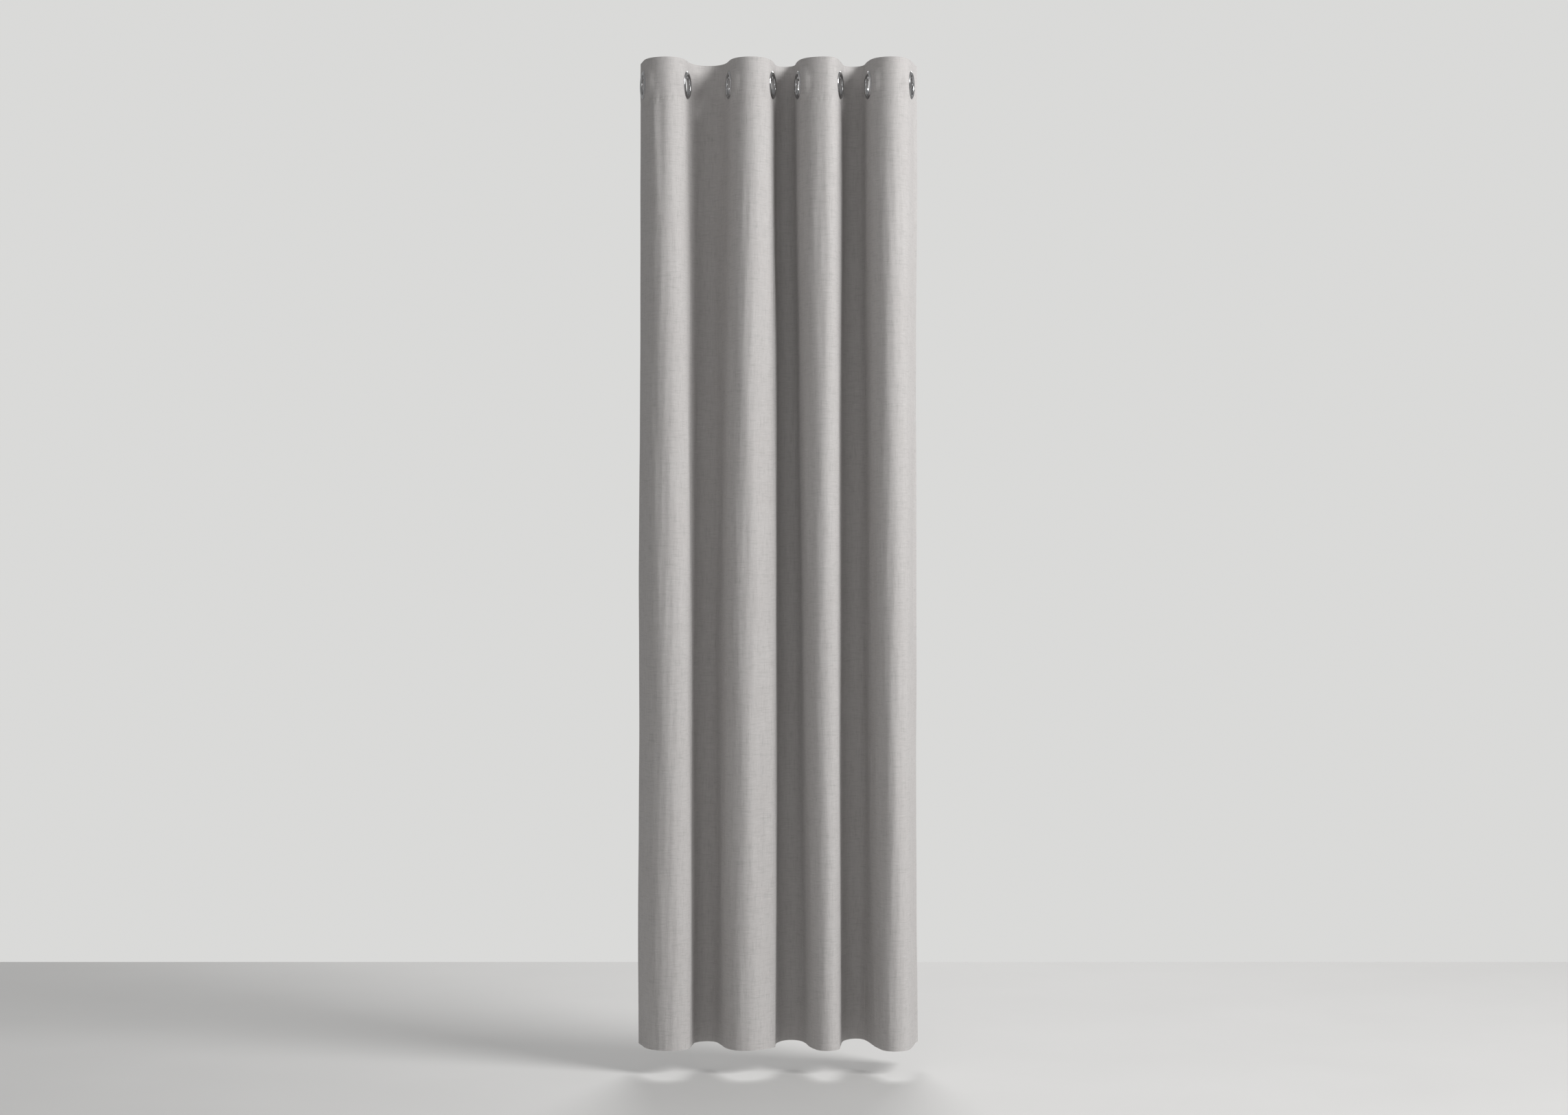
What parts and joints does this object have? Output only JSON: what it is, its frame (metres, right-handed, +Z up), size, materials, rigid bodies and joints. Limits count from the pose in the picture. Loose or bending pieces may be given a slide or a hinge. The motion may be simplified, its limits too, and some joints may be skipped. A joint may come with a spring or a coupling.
{
  "type": "eyelet curtain panel",
  "caption": "Linen-look curtain panel with metal eyelets along a stiffened header, side hems and a bottom hem, hanging in soft pleats and folding like an accordion along its pole.",
  "frame": {"origin": "on the pole's axis, midway between the first and the last eyelet", "axes": "+X along the pole towards the leading edge, +Z up, -Y towards the room"},
  "size_m": [0.679, 0.1418, 2.4],
  "materials": {
    "linen": "matt slubbed plain weave, light warm grey",
    "stiffener": "stiff off-white buckram, hidden in the header",
    "eyelet": "polished nickel-look plating",
    "label": "plain white satin ribbon, blank"
  },
  "bodies": {
    "outer_edge": {"cloth_edge_left": "linen", "cloth_edge_right": "linen", "header_edge": "linen", "stiffener_edge": "stiffener", "eyelet_1_front": "eyelet", "eyelet_1_rear": "eyelet", "care_label": "label"},
    "span_1": {"cloth_1": "linen", "header_1": "linen", "stiffener_1": "stiffener"},
    "span_2": {"cloth_2_left": "linen", "cloth_2_right": "linen", "header_2": "linen", "stiffener_2": "stiffener", "eyelet_2_front": "eyelet", "eyelet_2_rear": "eyelet"},
    "span_3": {"cloth_3_left": "linen", "cloth_3_right": "linen", "header_3": "linen", "stiffener_3": "stiffener", "eyelet_3_front": "eyelet", "eyelet_3_rear": "eyelet"},
    "span_4": {"cloth_4_left": "linen", "cloth_4_right": "linen", "header_4": "linen", "stiffener_4": "stiffener", "eyelet_4_front": "eyelet", "eyelet_4_rear": "eyelet"},
    "span_5": {"cloth_5_left": "linen", "cloth_5_right": "linen", "header_5": "linen", "stiffener_5": "stiffener", "eyelet_5_front": "eyelet", "eyelet_5_rear": "eyelet"},
    "span_6": {"cloth_6_left": "linen", "cloth_6_right": "linen", "header_6": "linen", "stiffener_6": "stiffener", "eyelet_6_front": "eyelet", "eyelet_6_rear": "eyelet"},
    "span_7": {"cloth_7_left": "linen", "cloth_7_right": "linen", "header_7": "linen", "stiffener_7": "stiffener", "eyelet_7_front": "eyelet", "eyelet_7_rear": "eyelet"},
    "span_8": {"cloth_8_left": "linen", "cloth_8_right": "linen", "header_8": "linen", "stiffener_8": "stiffener", "eyelet_8_front": "eyelet", "eyelet_8_rear": "eyelet"}
  },
  "joints": [
    {"name": "draw", "type": "hinge", "parent": "outer_edge", "child": "span_1", "pos_m": [-0.31572, -0.04129, -0.0115], "axis": [0, 0, -1], "range_deg": [-28.6, 16.9]},
    {"name": "crest_1", "type": "hinge", "parent": "span_1", "child": "span_2", "pos_m": [-0.27275, -0.05573, -0.0115], "axis": [0, 0, 1], "range_deg": [-50.6, 29.9]},
    {"name": "trough_1", "type": "hinge", "parent": "span_2", "child": "span_3", "pos_m": [-0.1685, 0.06074, -0.0115], "axis": [0, 0, -1], "range_deg": [-44, 26]},
    {"name": "crest_2", "type": "hinge", "parent": "span_3", "child": "span_4", "pos_m": [-0.06475, -0.05655, -0.0115], "axis": [0, 0, 1], "range_deg": [-44, 26]},
    {"name": "trough_2", "type": "hinge", "parent": "span_4", "child": "span_5", "pos_m": [0.0195, 0.08143, -0.0115], "axis": [0, 0, -1], "range_deg": [-44, 26]},
    {"name": "crest_3", "type": "hinge", "parent": "span_5", "child": "span_6", "pos_m": [0.102, -0.05927, -0.0115], "axis": [0, 0, 1], "range_deg": [-44, 26]},
    {"name": "trough_3", "type": "hinge", "parent": "span_6", "child": "span_7", "pos_m": [0.1875, 0.07903, -0.0115], "axis": [0, 0, -1], "range_deg": [-44, 26]},
    {"name": "crest_4", "type": "hinge", "parent": "span_7", "child": "span_8", "pos_m": [0.274, -0.05774, -0.0115], "axis": [0, 0, 1], "range_deg": [-44, 26]}
  ],
  "couplings": [
    {"joint": "crest_1", "follows": "draw", "ratio": 1.7692},
    {"joint": "trough_1", "follows": "draw", "ratio": 1.5385},
    {"joint": "crest_2", "follows": "draw", "ratio": 1.5385},
    {"joint": "trough_2", "follows": "draw", "ratio": 1.5385},
    {"joint": "crest_3", "follows": "draw", "ratio": 1.5385},
    {"joint": "trough_3", "follows": "draw", "ratio": 1.5385},
    {"joint": "crest_4", "follows": "draw", "ratio": 1.5385}
  ]
}
